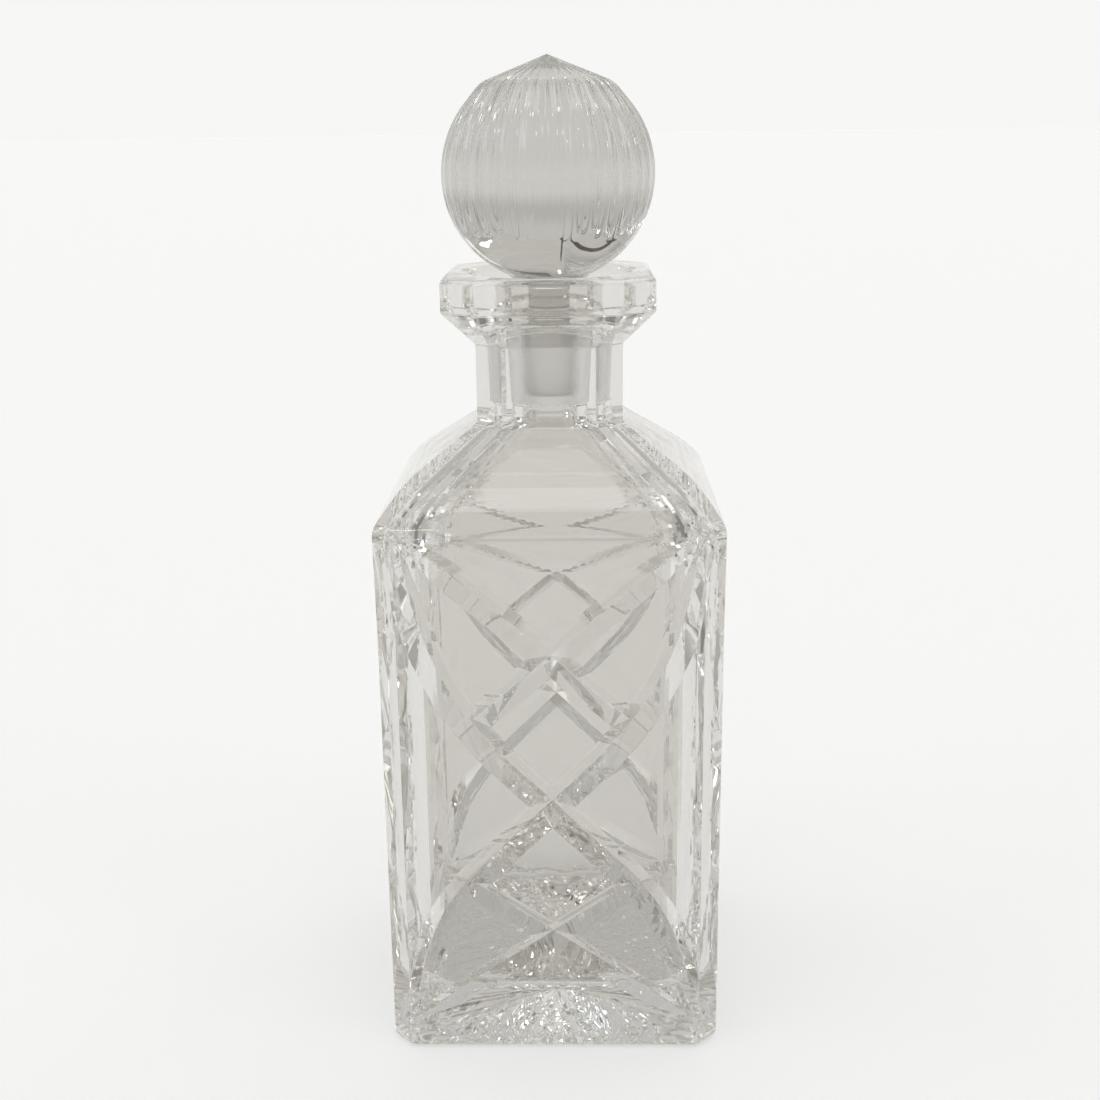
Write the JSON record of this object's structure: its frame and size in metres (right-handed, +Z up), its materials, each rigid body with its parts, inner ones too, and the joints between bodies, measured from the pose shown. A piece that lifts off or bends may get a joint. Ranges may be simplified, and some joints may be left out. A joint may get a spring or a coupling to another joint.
{
  "type": "cut crystal decanter",
  "caption": "Square cut crystal decanter with mitre-cut sides, sloping shoulders, a collared neck and a fluted ball stopper that lifts out of its ground seat.",
  "frame": {"origin": "middle of the foot, on the surface the decanter stands on", "axes": "+Z up along the axis of the bottle and the stopper; the four cut faces look along -Y, +X, +Y and -X"},
  "size_m": [0.085, 0.085, 0.25],
  "materials": {
    "bottle_crystal": "clear polished lead crystal with mitre cuts",
    "stopper_crystal": "clear polished lead crystal, satin ground plug"
  },
  "bodies": {
    "decanter": {"decanter_body": "bottle_crystal"},
    "stopper": {"stopper": "stopper_crystal"}
  },
  "joints": [
    {"name": "stopper_lift", "type": "slide", "parent": "decanter", "child": "stopper", "axis": [0, 0, 1], "range_m": [0, 0.08]}
  ]
}
